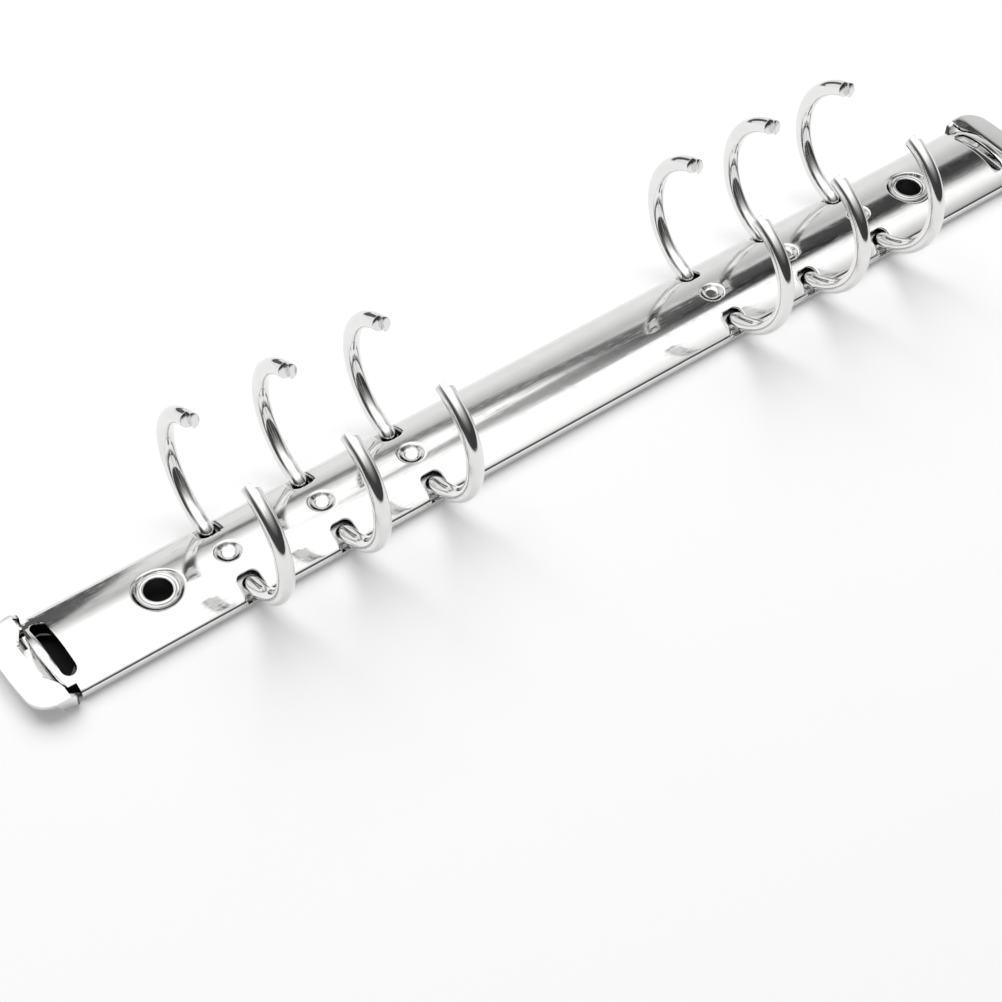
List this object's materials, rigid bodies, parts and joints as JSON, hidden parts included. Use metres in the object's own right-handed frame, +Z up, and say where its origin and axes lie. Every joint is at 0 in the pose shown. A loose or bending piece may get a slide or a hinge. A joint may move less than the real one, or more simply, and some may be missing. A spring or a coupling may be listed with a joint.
{
  "type": "six-ring binder mechanism",
  "caption": "Ring binder mechanism lying open: arched steel cover, hinged rails with split wire rings, thumb lever tabs at both ends and tubular eyelets for fixing rivets.",
  "frame": {"origin": "on the ground under the middle of the cover plate", "axes": "+X along the plate, +Y to the rear ring halves, +Z up from the ground"},
  "size_m": [0.2312, 0.0394, 0.0309],
  "materials": {
    "cover": "bright nickel plate, polished",
    "rail": "nickel plate",
    "ring_wire": "bright nickel plate, polished",
    "lever": "bright nickel plate, polished",
    "eyelet": "bright nickel plate"
  },
  "bodies": {
    "cover": {"cover_plate": "cover", "left_eyelet": "eyelet", "right_eyelet": "eyelet"},
    "rear_rings": {"rear_rail": "rail", "rear_ring_1": "ring_wire", "rear_ring_2": "ring_wire", "rear_ring_3": "ring_wire", "rear_ring_4": "ring_wire", "rear_ring_5": "ring_wire", "rear_ring_6": "ring_wire"},
    "front_rings": {"front_rail": "rail", "front_ring_1": "ring_wire", "front_ring_2": "ring_wire", "front_ring_3": "ring_wire", "front_ring_4": "ring_wire", "front_ring_5": "ring_wire", "front_ring_6": "ring_wire"},
    "left_lever": {"left_lever": "lever"},
    "right_lever": {"right_lever": "lever"}
  },
  "joints": [
    {"name": "rear_rail_hinge", "type": "hinge", "parent": "cover", "child": "rear_rings", "pos_m": [0, 0.0083, 0.001], "axis": [1, 0, 0], "range_deg": [0, 18.3]},
    {"name": "front_rail_hinge", "type": "hinge", "parent": "cover", "child": "front_rings", "pos_m": [0, -0.0083, 0.001], "axis": [-1, 0, 0], "range_deg": [0, 18.3]},
    {"name": "left_lever_hinge", "type": "hinge", "parent": "cover", "child": "left_lever", "pos_m": [-0.1066, 0, 0.00105], "axis": [0, 1, 0], "range_deg": [0, 21.64]},
    {"name": "right_lever_hinge", "type": "hinge", "parent": "cover", "child": "right_lever", "pos_m": [0.1066, 0, 0.00105], "axis": [0, -1, 0], "range_deg": [0, 21.64]}
  ],
  "couplings": [
    {"joint": "front_rail_hinge", "follows": "rear_rail_hinge", "ratio": 1},
    {"joint": "left_lever_hinge", "follows": "rear_rail_hinge", "ratio": 1.1822},
    {"joint": "right_lever_hinge", "follows": "rear_rail_hinge", "ratio": 1.1822}
  ]
}
